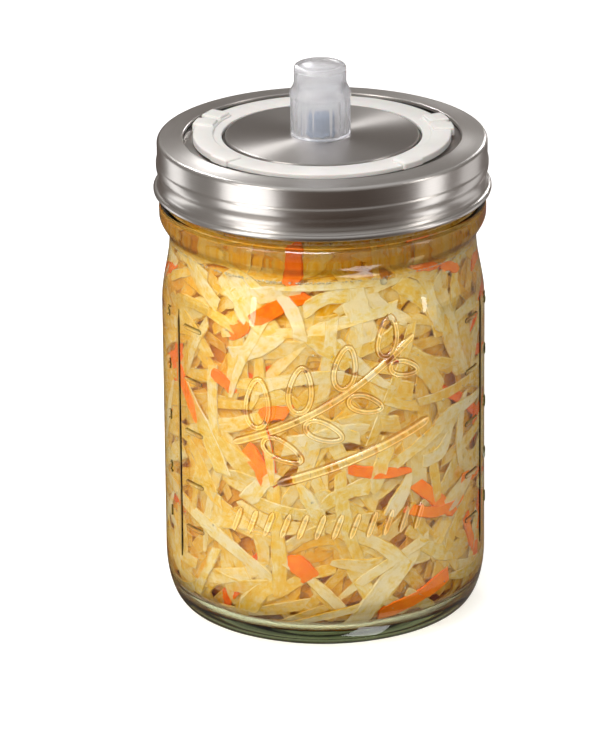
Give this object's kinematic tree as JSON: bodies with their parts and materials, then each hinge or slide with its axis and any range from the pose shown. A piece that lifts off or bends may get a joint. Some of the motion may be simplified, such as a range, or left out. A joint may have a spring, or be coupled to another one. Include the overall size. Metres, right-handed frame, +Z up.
{
  "type": "fermentation jar",
  "caption": "Wide-mouth glass jar packed with shredded cabbage and carrot in brine, closed by a steel screw band and an airlock lid.",
  "frame": {"origin": "centre of the glass foot, where the jar stands", "axes": "+Z up along the jar's axis; the side with the ornament, which the picture shows, faces -Y"},
  "size_m": [0.0916, 0.0916, 0.1541],
  "materials": {
    "glass": "clear, slightly green at the edges",
    "vegetables": "wet shredded cabbage and carrot",
    "steel": "brushed stainless steel",
    "white_plastic": "satin white plastic",
    "frosted_plastic": "translucent, milky",
    "stem_silicone": "grey-blue, matte"
  },
  "bodies": {
    "root": {"jar_glass": "glass", "shredded_vegetables": "vegetables", "screw_band": "steel", "lid_plate": "steel", "lid_ring": "white_plastic", "airlock_cap": "frosted_plastic", "airlock_stem": "stem_silicone"}
  },
  "joints": []
}
